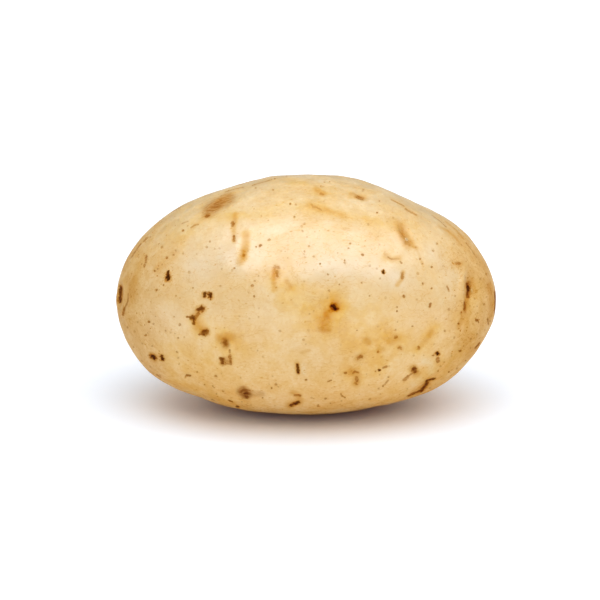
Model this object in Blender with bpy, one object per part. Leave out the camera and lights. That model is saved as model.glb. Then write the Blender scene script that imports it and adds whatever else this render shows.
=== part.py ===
"""A fresh white potato, lying on its flatter side.

The tuber grew as one piece, so it is one solid: a rounded body that tapers a little, swollen and hollowed in broad
places, with its eyes in shallow pits behind curved brows, the scar of its stem at one end, and a small flat spot
underneath, which it rests on.

+X runs along the tuber from the stem end to the crown end, +Z is up, and -Y is the front. The origin is under the
middle of the tuber, on the surface that it lies on. A place on the skin is (along, round): along is metres from the
middle of the length, and round is degrees about it, 0 at the front, 90 on top, 180 at the back and 270 underneath.
"""

from typing import NamedTuple

import bmesh
import bpy
import numpy as np

# The body
HALF_LENGTH = 0.0525
HALF_DEPTH = 0.0362
HALF_HEIGHT = 0.0328
END_DROP = 0.0010  # the ends lie this much lower than the middle
RING_FULLNESS = 2.1  # 2 is an ellipse, and more is squarer

# The flat spot
FLAT_DEPTH = 0.0004

# The skin's own gentle lumps
LUMP_SEED = 7
LUMP_WAVES = 24
LUMP_LENGTHS = (0.018, 0.040)
LUMP_HEIGHT = 0.00020

# The mesh: how far round an eye it is made finer, in times the eye's half width
BALL_SUBDIVISIONS = 5
FINER_WITHIN = (1.9, 1.3)

SKIN_COLOUR = (0.80, 0.56, 0.27, 1.0)
SKIN_ROUGHNESS = 0.45


class Swell(NamedTuple):
    """A broad swelling of the body, or a hollow where its rise is negative."""

    along: float
    round: float
    reach: float
    rise: float


class Eye(NamedTuple):
    """An eye: a brow across the tuber with a pit on its crown side. Turn tips the brow, in degrees."""

    along: float
    round: float
    half_width: float
    depth: float
    turn: float = 0.0


SWELLS = {
    "stem end, underneath": Swell(-0.042, 290, 0.014, 0.0020),
    "crown end, underneath": Swell(0.037, 290, 0.013, 0.0016),
    "hollow over the crown": Swell(0.029, 110, 0.013, -0.0013),
    "hollow over the stem end": Swell(-0.026, 110, 0.014, -0.0006),
    "back, towards the stem": Swell(-0.018, 178, 0.024, 0.0014),
    "hollow in the back": Swell(0.020, 205, 0.017, -0.0016),
    "knob of the crown": Swell(0.052, 350, 0.008, 0.0006),
    "belly towards the stem": Swell(-0.023, 288, 0.013, 0.0010),
    "top towards the stem": Swell(-0.017, 108, 0.008, -0.0004),
    "shoulder of the crown": Swell(0.047, 108, 0.007, -0.0002),
}

EYES = {
    "crown, front": Eye(0.0433, 25, 0.0042, 0.0016),
    "crown, tip": Eye(0.0515, 2, 0.0030, 0.0007),
    "upper right": Eye(0.0262, 53, 0.0034, 0.0009, 30),
    "middle": Eye(0.0073, 13, 0.0022, 0.0006),
    "lower right": Eye(0.0310, -44, 0.0046, 0.0013, -50),
    "top": Eye(0.0140, 77, 0.0030, 0.0004, 20),
    "long brow": Eye(-0.0168, 43, 0.0046, 0.0004, -11),
    "short brow": Eye(-0.0085, 31, 0.0034, 0.0003),
    "upper left": Eye(-0.0245, 79, 0.0046, 0.0005, -32),
    "lower left": Eye(-0.0218, -5, 0.0026, 0.0006),
    "underside, left": Eye(-0.0170, -36, 0.0028, 0.0007),
    "crown, back": Eye(0.0395, 150, 0.0044, 0.0015),
    "back, upper": Eye(0.0120, 142, 0.0036, 0.0010, 12),
    "back, middle": Eye(-0.0140, 172, 0.0040, 0.0011, -8),
    "back, lower": Eye(0.0240, 212, 0.0040, 0.0013, 10),
    "back, stem end": Eye(-0.0360, 146, 0.0034, 0.0006),
    "underneath, crown": Eye(0.0375, 262, 0.0038, 0.0012),
    "underneath, stem": Eye(-0.0310, 238, 0.0034, 0.0008),
}

# An eye's proportions. Widths are in times the eye's half width, setbacks and lengths in times the pit's reach, and
# rises in times the eye's depth
PIT_REACH = 0.55
BROW_SETBACK = 0.6
BROW_BEND = 0.45
BROW_THICKNESS = 0.7
BROW_RISE = 0.4
BUD_HALF_WIDTH = 0.24
BUD_SETBACK = 1.0
BUD_HALF_LENGTH = 0.42
BUD_RISE = 0.55

# The stem's scar, on the stem end. Its rim is in times its radius
SCAR_PLACE = (-0.0515, 20)
SCAR_RADIUS = 0.0030
SCAR_DEPTH = 0.0006
SCAR_RIM = 0.00035
RIM_REACH = 1.35
RIM_THICKNESS = 0.35


def place(along, round_degrees):
    """The unit direction that body() carries to this place on the skin."""
    share = np.clip(along / HALF_LENGTH, -1, 1)
    angle = np.radians(round_degrees)
    ring = np.sqrt(1 - share**2)
    return np.array([[share, -np.cos(angle) * ring, np.sin(angle) * ring]])


def body(directions):
    """Points and outward normals of the plain body for unit directions.

    The length is an ellipse, each ring across it is a superellipse of HALF_DEPTH by HALF_HEIGHT, and the ends bend
    down in a parabola.
    """
    share, ring = directions[:, :1], np.linalg.norm(directions[:, 1:], axis=1, keepdims=True)
    across = directions[:, 1:] / ring.clip(1e-9)
    power_sum = (np.abs(across) ** RING_FULLNESS).sum(axis=1, keepdims=True)
    across = across * ring / power_sum.clip(1e-9) ** (1 / RING_FULLNESS)
    halves = np.array([HALF_LENGTH, HALF_DEPTH, HALF_HEIGHT])
    points = np.hstack([share, across]) * halves
    outward = points / halves**2
    points[:, 2] -= END_DROP * share[:, 0] ** 2
    return points, outward / np.linalg.norm(outward, axis=1, keepdims=True)


def swelling(points):
    """The height of the broad swells and hollows: a bell for each, by its distance from the swell's middle."""
    height = np.zeros(len(points))
    for swell in SWELLS.values():
        middle = body(place(swell.along, swell.round))[0]
        distance = np.linalg.norm(points - middle, axis=1)
        height += swell.rise * np.exp(-((distance / swell.reach) ** 2))
    return height


def lumps(points):
    """The height of the skin's gentle lumps: waves of random direction, length and start."""
    random = np.random.default_rng(LUMP_SEED)
    headings = random.normal(size=(LUMP_WAVES, 3))
    headings /= np.linalg.norm(headings, axis=1, keepdims=True)
    lengths = random.uniform(*LUMP_LENGTHS, LUMP_WAVES)
    starts = random.uniform(0, 2 * np.pi, LUMP_WAVES)
    waves = np.sin(points @ (headings * (2 * np.pi / lengths)[:, None]).T + starts)
    return LUMP_HEIGHT * waves.sum(axis=1) / np.sqrt(LUMP_WAVES / 2)


def eye_frame(eye):
    """An eye's middle, and its axes: towards the crown, sideways along the brow, and outward."""
    middle, outward = (row[0] for row in body(place(eye.along, eye.round)))
    middle = middle + outward * swelling(middle[None])[0]
    crownward = np.array([1.0, 0.0, 0.0]) - outward[0] * outward
    crownward /= np.linalg.norm(crownward)
    sideways = np.cross(outward, crownward)
    turn = np.radians(eye.turn)
    turned = np.cos(turn) * crownward + np.sin(turn) * sideways
    return middle, turned, np.cross(outward, turned), outward


def eye_relief(eye, points, outward):
    """The height of one eye.

    Across the tuber a bell fades the eye out. Along it, the brow is a low ridge whose ends bend towards the crown,
    the pit drops steeply behind the brow and comes up gently, and the bud is a small bump in the pit.
    """
    middle, crownward, sideways, facing = eye_frame(eye)
    offset = points - middle
    across = offset @ sideways / eye.half_width
    behind = offset @ crownward / (PIT_REACH * eye.half_width) - BROW_BEND * across**2 + BROW_SETBACK
    fade = np.exp(-(across**2)) * (outward @ facing > 0)
    inside = behind.clip(0)
    pit = inside * np.exp(1 - inside.clip(0, 20))
    brow = np.exp(-((behind / BROW_THICKNESS) ** 2))
    bud = np.exp(-((across / BUD_HALF_WIDTH) ** 2) - ((behind - BUD_SETBACK) / BUD_HALF_LENGTH) ** 2)
    return eye.depth * fade * (BROW_RISE * brow - pit + BUD_RISE * bud)


def scar_relief(points):
    """The height of the stem's scar: a shallow dish with a low rim."""
    middle = body(place(*SCAR_PLACE))[0]
    reach = np.linalg.norm(points - middle, axis=1) / SCAR_RADIUS
    dish = np.exp(-(reach**4))
    rim = np.exp(-(((reach - RIM_REACH) / RIM_THICKNESS) ** 2))
    return SCAR_RIM * rim - SCAR_DEPTH * dish


def skin(directions):
    """Points of the finished skin for unit directions, about the body's middle."""
    points, outward = body(directions)
    height = swelling(points) + lumps(points)
    points = points + outward * height[:, None]
    relief = scar_relief(points) + sum(eye_relief(eye, points, outward) for eye in EYES.values())
    return points + outward * relief[:, None]


def set_down(points):
    """The points with their lowest part pressed flat, and the origin under the middle of their box."""
    lowest, highest = points.min(axis=0), points.max(axis=0)
    floor = lowest[2] + FLAT_DEPTH
    middle = (lowest + highest) / 2
    moved = points - np.array([middle[0], middle[1], floor])
    moved[:, 2] = moved[:, 2].clip(0)
    return moved


def finer_near_eyes(ball):
    """Splits the triangles of a unit ball that come to lie near an eye or the scar."""
    details = [(eye_frame(eye)[0], eye.half_width) for eye in EYES.values()]
    details.append((body(place(*SCAR_PLACE))[0][0], SCAR_RADIUS))
    for widths in FINER_WITHIN:
        halfway = np.array([(edge.verts[0].co + edge.verts[1].co).normalized() for edge in ball.edges])
        points, _ = body(halfway)
        near = np.zeros(len(points), bool)
        for middle, half_width in details:
            near |= np.linalg.norm(points - middle, axis=1) < widths * half_width
        chosen = [edge for edge, close in zip(ball.edges, near) if close]
        bmesh.ops.subdivide_edges(ball, edges=chosen, cuts=1, use_single_edge=True)
        bmesh.ops.triangulate(ball, faces=ball.faces)
        for vertex in ball.verts:
            vertex.co.normalize()


def potato_mesh():
    """The tuber's skin as one closed mesh."""
    ball = bmesh.new()
    bmesh.ops.create_icosphere(ball, subdivisions=BALL_SUBDIVISIONS, radius=1)
    finer_near_eyes(ball)
    directions = np.array([vertex.co for vertex in ball.verts])
    for vertex, point in zip(ball.verts, set_down(skin(directions))):
        vertex.co = point
    mesh = bpy.data.meshes.new("potato")
    ball.to_mesh(mesh)
    ball.free()
    mesh.shade_smooth()
    return mesh


def skin_material():
    material = bpy.data.materials.new("potato_skin")
    material.use_nodes = True
    shader = material.node_tree.nodes["Principled BSDF"]
    shader.inputs["Base Color"].default_value = SKIN_COLOUR
    shader.inputs["Roughness"].default_value = SKIN_ROUGHNESS
    shader.inputs["Metallic"].default_value = 0.0
    return material


def main():
    for leftover in list(bpy.data.objects):
        bpy.data.objects.remove(leftover)
    potato = bpy.data.objects.new("potato", potato_mesh())
    potato.data.materials.append(skin_material())
    bpy.context.scene.collection.objects.link(potato)


main()
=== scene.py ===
"""A fresh white potato on a white surface, lit by one large soft light and a white room.

The skin is one closed surface over a unit ball, shaped by the same formulas and values as the frame's solid,
with finer relief on top. Its marks, such as scabs, stains and pores, are strokes laid on the skin where the
photograph shows them, and seeded ones of the same kinds cover the sides that it doesn't show. The mesh
carries the marks as attributes, which the skin's material turns into colour, gloss and fine bumps.

+X runs from the stem end to the crown end, +Z is up, and -Y is the front. A place on the skin is (along,
round): along is metres from the middle of the length, and round is degrees about it, 0 at the front and 90 on
top.
"""

import math
from typing import NamedTuple

import bpy
import numpy as np
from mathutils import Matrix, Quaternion, Vector
from mathutils.bvhtree import BVHTree


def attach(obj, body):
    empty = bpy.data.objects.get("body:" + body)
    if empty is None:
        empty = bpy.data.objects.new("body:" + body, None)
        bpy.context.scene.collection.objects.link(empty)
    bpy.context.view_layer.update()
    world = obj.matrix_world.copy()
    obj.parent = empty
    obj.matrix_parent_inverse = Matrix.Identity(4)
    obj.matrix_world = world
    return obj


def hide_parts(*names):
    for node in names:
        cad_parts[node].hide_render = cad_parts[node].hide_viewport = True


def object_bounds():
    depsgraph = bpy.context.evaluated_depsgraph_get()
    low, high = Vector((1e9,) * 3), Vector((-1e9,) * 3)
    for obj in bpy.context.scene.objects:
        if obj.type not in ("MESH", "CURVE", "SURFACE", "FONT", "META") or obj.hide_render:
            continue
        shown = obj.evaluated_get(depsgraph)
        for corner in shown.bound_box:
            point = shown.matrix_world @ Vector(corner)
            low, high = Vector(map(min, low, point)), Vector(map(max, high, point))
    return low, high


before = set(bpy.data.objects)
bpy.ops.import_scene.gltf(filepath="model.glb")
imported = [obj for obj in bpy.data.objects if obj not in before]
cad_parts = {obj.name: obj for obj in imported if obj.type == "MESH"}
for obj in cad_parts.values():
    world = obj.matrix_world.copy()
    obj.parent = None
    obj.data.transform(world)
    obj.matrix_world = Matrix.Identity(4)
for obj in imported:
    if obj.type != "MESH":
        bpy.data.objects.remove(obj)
frame_box = np.array(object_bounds())

# The photograph, and the direction from the tuber to its camera
PHOTO_SIZE = 600
OUTLINE_CENTRE = (306, 294.5)
OUTLINE_WIDTH = 380
CAMERA_DISTANCE = 0.8
CAMERA_ELEVATION = math.radians(18)
TO_CAMERA = np.array([0, -math.cos(CAMERA_ELEVATION), math.sin(CAMERA_ELEVATION)])

# The body
HALF_LENGTH = 0.0525
HALF_DEPTH = 0.0362
HALF_HEIGHT = 0.0328
END_DROP = 0.0010
RING_FULLNESS = 2.1
FLAT_DEPTH = 0.0004

# The skin's own lumps: gentle ones that the solid has too, and fine ones
LUMP_SEED = 7
LUMP_WAVES = 24
LUMP_LENGTHS = (0.018, 0.040)
LUMP_HEIGHT = 0.00020
FINE_SEED = 11
FINE_WAVES = 48
FINE_LENGTHS = (0.0035, 0.009)
FINE_HEIGHT = 0.000035

# The mesh: squares along one edge of the cube that the ball is bent from, and its pull towards the camera
BALL_STEPS = 127
FRONT_PULL = 0.3


class Swell(NamedTuple):
    """A broad swelling of the body, or a hollow where its rise is negative."""

    along: float
    round: float
    reach: float
    rise: float


class Eye(NamedTuple):
    """An eye: a brow across the tuber with a pit on its crown side. Turn tips the brow, in degrees."""

    along: float
    round: float
    half_width: float
    depth: float
    turn: float = 0.0


class Mark(NamedTuple):
    """A stroke on the skin through pixels of the photograph. Its width is in pixels, from side to side."""

    pixels: tuple
    width: float
    strength: float = 1.0


class View(NamedTuple):
    """The photograph's camera: its axes, the point that it looks at, and one pixel's size there in metres."""

    right: np.ndarray
    up: np.ndarray
    back: np.ndarray
    aim: np.ndarray
    pixel: float

    def eye(self):
        """Where the camera stands."""
        return self.aim + self.back * CAMERA_DISTANCE

    def at(self, x, y):
        """The point that a pixel of the photograph falls on, in the plane that the camera looks at."""
        aside, above = (x - PHOTO_SIZE / 2) * self.pixel, (PHOTO_SIZE / 2 - y) * self.pixel
        return self.aim + self.right * aside + self.up * above

    def flatten(self, points):
        """The points with their depth drawn in, so that a mark on a slope is as wide as photographed."""
        return points - (1 - DEPTH_SHARE) * (points @ self.back)[:, None] * self.back


class Stroke(NamedTuple):
    """A stroke on the skin through points in metres. A seen one is laid as the photograph shows it."""

    kind: str
    points: np.ndarray
    half_width: float
    strength: float
    seen: bool = False


SWELLS = {
    "stem end, underneath": Swell(-0.042, 290, 0.014, 0.0020),
    "crown end, underneath": Swell(0.037, 290, 0.013, 0.0016),
    "hollow over the crown": Swell(0.029, 110, 0.013, -0.0013),
    "hollow over the stem end": Swell(-0.026, 110, 0.014, -0.0006),
    "back, towards the stem": Swell(-0.018, 178, 0.024, 0.0014),
    "hollow in the back": Swell(0.020, 205, 0.017, -0.0016),
    "knob of the crown": Swell(0.052, 350, 0.008, 0.0006),
    "belly towards the stem": Swell(-0.023, 288, 0.013, 0.0010),
    "top towards the stem": Swell(-0.017, 108, 0.008, -0.0004),
    "shoulder of the crown": Swell(0.047, 108, 0.007, -0.0002),
}

EYES = {
    "crown, front": Eye(0.0433, 25, 0.0042, 0.0016),
    "crown, tip": Eye(0.0515, 2, 0.0030, 0.0007),
    "upper right": Eye(0.0262, 53, 0.0034, 0.0009, 30),
    "middle": Eye(0.0073, 13, 0.0022, 0.0006),
    "lower right": Eye(0.0310, -44, 0.0046, 0.0013, -50),
    "top": Eye(0.0140, 77, 0.0030, 0.0004, 20),
    "long brow": Eye(-0.0168, 43, 0.0046, 0.0004, -11),
    "short brow": Eye(-0.0085, 31, 0.0034, 0.0003),
    "upper left": Eye(-0.0245, 79, 0.0046, 0.0005, -32),
    "lower left": Eye(-0.0218, -5, 0.0026, 0.0006),
    "underside, left": Eye(-0.0170, -36, 0.0028, 0.0007),
    "crown, back": Eye(0.0395, 150, 0.0044, 0.0015),
    "back, upper": Eye(0.0120, 142, 0.0036, 0.0010, 12),
    "back, middle": Eye(-0.0140, 172, 0.0040, 0.0011, -8),
    "back, lower": Eye(0.0240, 212, 0.0040, 0.0013, 10),
    "back, stem end": Eye(-0.0360, 146, 0.0034, 0.0006),
    "underneath, crown": Eye(0.0375, 262, 0.0038, 0.0012),
    "underneath, stem": Eye(-0.0310, 238, 0.0034, 0.0008),
}

# An eye's proportions. Widths are in times the eye's half width, setbacks and lengths in times the pit's
# reach, and rises in times the eye's depth
PIT_REACH = 0.55
BROW_SETBACK = 0.6
BROW_BEND = 0.45
BROW_THICKNESS = 0.7
BROW_RISE = 0.4
BUD_HALF_WIDTH = 0.24
BUD_SETBACK = 1.0
BUD_HALF_LENGTH = 0.42
BUD_RISE = 0.55

# The stem's scar, on the stem end. Its rim is in times its radius
SCAR_PLACE = (-0.0515, 20)
SCAR_RADIUS = 0.0030
SCAR_DEPTH = 0.0006
SCAR_RIM = 0.00035
RIM_REACH = 1.35
RIM_THICKNESS = 0.35

# Hard scabs, cracks and scratches. The strong ones are dark inside, and the weak ones are thin brown crusts
SCABS = {
    "far left": (Mark(((168, 271.4), (168, 274.6)), 2.2, 0.75), Mark(((167.8, 276), (168, 279)), 4.6, 0.95)),
    "arch": (Mark(((204.4, 293.6), (204.4, 296.2)), 3.2, 0.75), Mark(((205, 293), (209, 293.2)), 2.4, 0.45),
        Mark(((210, 294.6), (210.2, 296.8)), 4, 0.75)),
    "left chain": (Mark(((199.6, 309.6), (202.4, 308.8)), 5, 0.65),
        Mark(((198.4, 313.2), (197.2, 316)), 3, 0.5), Mark(((191.8, 317.8), (194.6, 318.4)), 3.8, 0.65),
        Mark(((193.6, 319), (193.7, 323.4)), 2.4, 0.6), Mark(((187, 316.8), (190.6, 317.2)), 1.8, 0.5),
        Mark(((203.6, 333), (206.2, 331.8)), 5.2, 0.6), Mark(((199.4, 334.6), (202, 334.2)), 2.4, 0.4)),
    "lower left": (Mark(((152.4, 356.4), (153.8, 357.4)), 4.8, 0.85),
        Mark(((149, 355), (151.4, 356)), 1.6, 0.5), Mark(((161.4, 356.2), (163, 359.4)), 3, 0.75)),
    "hook": (Mark(((229.5, 350.4), (229.7, 352.4)), 1.8, 0.4),
        Mark(((229.7, 355.6), (230.2, 358.4)), 3, 0.42), Mark(((230.4, 361), (231.2, 364.4)), 2.4, 0.36),
        Mark(((221.8, 359), (222.4, 363.4)), 3.8, 0.6), Mark(((224, 364.4), (229.6, 364)), 1.8, 0.15)),
    "lone slit": (Mark(((297.2, 364.6), (297.6, 368.4), (298.2, 372)), 2.8, 0.75),),
    "underneath": (Mark(((295, 395.2), (300, 395.4)), 2.4, 0.45),
        Mark(((290.6, 405.6), (294.4, 404), (298.6, 402.4)), 3.2, 0.7),
        Mark(((295, 403.8), (297.4, 402.6)), 3.2, 0.8)),
    "main eye": (Mark(((333.4, 306.6), (334.4, 307.8)), 4.2, 0.9),
        Mark(((336, 308.6), (338, 309)), 2.4, 0.45)),
    "small": (Mark(((383.1, 271.8), (383.3, 273)), 2.6),),
    "lower right": (Mark(((437, 353.2), (437.4, 354)), 3.4), Mark(((437.6, 358.4), (438.4, 361)), 3.4, 0.46),
        Mark(((432.6, 355.6), (434, 355.4)), 1.6, 0.4)),
    "lower middle": (Mark(((358.4, 358.2), (360.4, 356.8)), 3.8, 0.42),),
    "right of the middle": (Mark(((395.4, 337.2), (396.4, 337.4)), 2.8, 0.28),
        Mark(((399.6, 347.6), (400.4, 347.8)), 2.6, 0.22)),
    "brow of the lower right": (Mark(((414, 368.6), (414.8, 371)), 4.4, 0.6),),
    "line under the brow": (Mark(((411.8, 373.4), (408.6, 376)), 2, 0.35),
        Mark(((407.8, 376.8), (404.2, 380.2)), 2.8, 0.45)),
    "crease": (Mark(((434.8, 378.6), (430, 379.6), (427, 381)), 2.4, 0.7),
        Mark(((427, 381), (426.2, 384.6), (423.6, 388.4), (420.6, 391)), 3.2, 0.7),
        Mark(((420, 391.4), (414.6, 393), (408.2, 396)), 2.6, 0.58)),
    "crown slit": (Mark(((467, 284), (467.4, 288), (467.6, 292), (467.8, 296.6)), 2.8, 0.58),
        Mark(((468.2, 286.6), (468.4, 290)), 3, 0.8)),
    "under the crown slit": (Mark(((464.4, 302.6), (464.9, 309.6)), 2.4, 0.4),),
    "tip": (Mark(((495, 293), (495.6, 299), (494.6, 310)), 3, 0.4),),
    "upper streak": (Mark(((233, 222.4), (232.8, 225)), 3.2, 0.38),
        Mark(((233.8, 236), (234, 240.6)), 2.4, 0.42)),
    "long brow": (Mark(((243.4, 255.2), (244, 255.6)), 2.4, 0.3),
        Mark(((259.8, 246), (261, 245)), 2.2, 0.45)),
    "upper left patch": (Mark(((205.8, 216.4), (208.8, 215.6)), 2.4, 0.4),),
    "bud in the dimple": (Mark(((406.4, 239.4), (406.5, 239.6)), 1.3, 0.35),),
    "scratch over the crown": (Mark(((405.6, 209), (410.4, 211.8), (416, 214.8)), 1.8, 0.26),),
    "scratch on top": (Mark(((311.6, 204.6), (313, 207), (315, 206.4), (321, 209.8)), 1.6, 0.2),),
    "top": (Mark(((321.2, 186.2), (323, 186.6)), 2.4, 0.25), Mark(((320.6, 193.8), (323.4, 194.4)), 2, 0.2)),
    "top right": (Mark(((358, 197.4), (362, 198.6)), 3.8, 0.26),),
    "stem scar": (Mark(((120.8, 287.4), (120.4, 294), (120, 301)), 3.8, 0.68),
        Mark(((128.2, 294), (128, 301), (124.8, 308)), 1.6, 0.25),
        Mark(((124.6, 308), (123, 314.4)), 2.4, 0.4)),
    "edge": (Mark(((131.6, 257.4), (136, 250.4), (141, 243.8)), 1.6, 0.3),
        Mark(((143.6, 241.4), (147.4, 237.4)), 1.8, 0.35), Mark(((172, 211.6), (180, 207.4)), 1.8, 0.3),
        Mark(((225, 192), (233, 189.4), (244, 187)), 1.4, 0.28),
        Mark(((252, 185.6), (262, 182.4), (272, 179.6)), 1.4, 0.25),
        Mark(((391, 199.6), (398, 202.8), (404, 206)), 1.6, 0.28),
        Mark(((432, 215.4), (440, 221), (446, 227)), 1.4, 0.2),
        Mark(((466, 243), (472, 250.4), (476.4, 257.6)), 1.4, 0.18)),
    "trail of the patch": (Mark(((181.6, 223.8), (188, 221.2)), 1.3, 0.24),
        Mark(((191, 227.6), (194.6, 225), (198.4, 224.4)), 1.3, 0.22)),
    "near the crown slit": (Mark(((447, 286.4), (448.2, 289), (448.8, 291)), 1.7, 0.32),),
    "under the highlight": (Mark(((400.6, 262), (401.4, 263)), 1.6, 0.3),),
    "low scratch on the right": (Mark(((383.2, 385.8), (386, 382.8), (388.2, 380.2)), 1.5, 0.24),),
    "low smear on the left": (Mark(((157, 375), (160.6, 377.4)), 1.8, 0.3),),
    "arc by the highlight": (Mark(((387.4, 257), (391.8, 259.4), (398.4, 259)), 1.5, 0.15),),
    "dropped streak": (Mark(((402, 273.6), (402.2, 278)), 3, 0.25),),
    "edge, lower right": (Mark(((475.6, 348), (479, 343.6)), 2.2, 0.5),),
    "near the right end": (Mark(((456.4, 263.2), (459.4, 263.8)), 2.6, 0.25),),
    "purple bruise": (Mark(((245.4, 394.4), (246.8, 396.6)), 3.2, 0.32),),
    "short brow": (Mark(((274.6, 267.6), (278.8, 267.8)), 3.2, 0.18),
        Mark(((277, 271), (277.4, 276.4)), 2.6, 0.22)),
    "lower hook": (Mark(((185.4, 377.4), (187, 374.8), (190.2, 375.6)), 1.8, 0.5),),
    "cluster": (Mark(((356.6, 378), (357.2, 380.6)), 3, 0.4), Mark(((355.6, 383), (356.2, 383.6)), 3, 0.3),
        Mark(((352.6, 373.4), (355, 371.4), (358.6, 372.6)), 1.6, 0.35)),
    "left of the cluster": (Mark(((344.6, 373), (345.8, 372.8)), 2.2, 0.45),),
    "right of the cluster": (Mark(((379, 370), (379.4, 370.2)), 2, 0.85),
        Mark(((383.6, 367.4), (386, 366.8)), 2.2, 0.35)),
    "golden streak": (Mark(((418.4, 347), (418.8, 349)), 2.2, 0.3),),
    "scratch underneath": (Mark(((341, 393.6), (341.6, 396), (345, 397.6)), 1.6, 0.4),),
    "scratch": (Mark(((327.6, 381.6), (331, 380.4)), 1.6, 0.35),),
    "bottom scratch": (Mark(((228.6, 400), (233, 402.4)), 1.6, 0.5),),
    "bottom dot": (Mark(((237.2, 406.6), (238, 406.8)), 2.4, 0.9),),
    "left streak": (Mark(((146.4, 256), (145.8, 262)), 2.4, 0.35),
        Mark(((144.6, 265), (144.2, 267)), 2, 0.35)),
    "dash on the right": (Mark(((429.4, 306.6), (430.6, 304)), 2.2, 0.42),),
    "right end": (Mark(((476.4, 320), (477.4, 320.4)), 2.4, 0.5),),
    "edge on the right": (Mark(((487.6, 319), (488.4, 324)), 1.8, 0.4),),
    "dimple": (Mark(((405.4, 242.6), (409.6, 244.6)), 2.8, 0.08),),
    "grey eye": (Mark(((224.8, 342.4), (225.4, 344.2)), 4.6, 0.18),),
}

# Soft orange-brown stains; the dimple's are partly painted shade
STAINS = {
    "upper streak": (Mark(((235.4, 214), (235, 221), (233.4, 228)), 5.4, 0.5),
        Mark(((233.6, 232), (233.8, 241)), 4.6, 0.4)),
    "long brow": (Mark(((246, 234), (245.4, 246), (243.6, 254), (240, 262)), 8.4, 0.42),
        Mark(((244, 253), (243.6, 257)), 5, 0.3)),
    "short brow": (Mark(((276, 267), (277, 277)), 7, 0.3), Mark(((273.6, 270), (274, 290)), 4.6, 0.35)),
    "main eye": (Mark(((334, 306), (335.4, 308)), 9, 0.5),
        Mark(((327.4, 313), (325.4, 322), (325, 329)), 9, 0.38),
        Mark(((319.8, 329.2), (322, 329.6)), 4.4, 0.3), Mark(((328.4, 329.6), (330, 330.2)), 4.4, 0.35)),
    "left chain": (Mark(((201, 309), (194, 318), (197.6, 327), (205, 332)), 8, 0.4),),
    "grey eye": (Mark(((220, 337.6), (226, 336), (232, 337.4)), 8, 0.38),),
    "arch": (Mark(((203, 296), (211, 296)), 7, 0.3),),
    "hook": (Mark(((223, 361), (230, 360)), 8, 0.3),),
    "right of the middle": (Mark(((391, 341), (396, 338)), 9, 0.35),
        Mark(((399, 347.4), (401, 348.6)), 5.4, 0.4)),
    "middle": (Mark(((366.4, 340.4), (369, 341.6)), 7, 0.5),),
    "lower middle": (Mark(((357, 359), (362, 356)), 8, 0.3),),
    "cluster": (Mark(((352, 372), (356, 374), (356, 383)), 9, 0.45),),
    "golden streak": (Mark(((432, 331), (426, 339.6), (418.6, 347.6)), 5.4, 0.24),),
    # The dimple's brown, with painted shade deepening the darker side of its hollow
    "dimple": (Mark(((400, 227.4), (403.4, 236), (408.4, 243)), 12, 0.5),
        Mark(((402, 233), (407, 242)), 6, 0.25)),
    "crown slit": (Mark(((470.6, 281.6), (472.4, 290)), 9, 0.3),
        Mark(((467.6, 296), (464.6, 310), (458.4, 327)), 5, 0.4)),
    "crown end": (Mark(((490, 286), (493, 300), (490, 316)), 8, 0.4),),
    "near the right end": (Mark(((455, 263), (460.6, 264.4)), 6, 0.35),),
    "over the right end": (Mark(((448, 232), (458, 239), (466, 246)), 10, 0.22),),
    "scratch over the crown": (Mark(((389.6, 197), (403, 206.4), (417, 216)), 3.6, 0.2),),
    "top right": (Mark(((351.6, 194.8), (358, 197), (364, 198)), 7.4, 0.42),),
    "top": (Mark(((316.6, 189), (320, 192), (323, 193.6)), 6.4, 0.4),
        Mark(((310, 205), (321, 210), (337, 213), (345, 217)), 6, 0.26)),
    "upper left patch": (Mark(((194, 226), (206, 217)), 6, 0.25),
        Mark(((209, 211), (217, 205), (227, 199)), 12, 0.3)),
    "stem end": (Mark(((132, 280), (129, 300)), 14, 0.24), Mark(((122, 288), (121, 300)), 8, 0.35)),
    "dropped streak": (Mark(((403, 272), (401.8, 279), (397, 285)), 4.4, 0.5),),
    "arc by the highlight": (Mark(((386, 256), (392, 260), (399, 258)), 6, 0.3),),
    "underneath": (Mark(((289, 405.4), (300, 401)), 8, 0.45), Mark(((292, 392), (299, 395.4)), 6, 0.35)),
    "lone slit": (Mark(((297, 364), (298, 373)), 6, 0.3),),
    "brow of the lower right": (Mark(((412.6, 368), (416, 373)), 9, 0.4),),
    "crease": (Mark(((430, 380.4), (423, 389), (412, 394)), 7, 0.3),),
    "lower left": (Mark(((152, 356), (162, 358)), 7, 0.3),),
    "stipples": (Mark(((158, 268), (174, 254)), 9, 0.2),),
    "left of the golden streak": (Mark(((379, 350.6), (383, 349)), 6, 0.3),),
    "lower middle, left": (Mark(((302, 352.6), (309, 350.4)), 4, 0.22),),
    "under the dimple": (Mark(((413.6, 247), (417.2, 248.4)), 3.2, 0.36),
        Mark(((417.4, 251), (420.4, 258), (422.8, 265.6)), 2.6, 0.16)),
    "shoulder of the crown": (Mark(((439, 226.4), (446.4, 230.4)), 4, 0.3),),
    "shoulder": (Mark(((446, 222), (455, 229), (463, 238)), 3, 0.35),
        Mark(((448, 231), (456, 238), (461, 245)), 2.4, 0.3)),
    "right of the short brow": (Mark(((287, 281.6), (290, 286.4)), 4, 0.35),),
    "above the dimple": (Mark(((391, 217.6), (396, 219.8)), 3, 0.14),),
}

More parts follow.
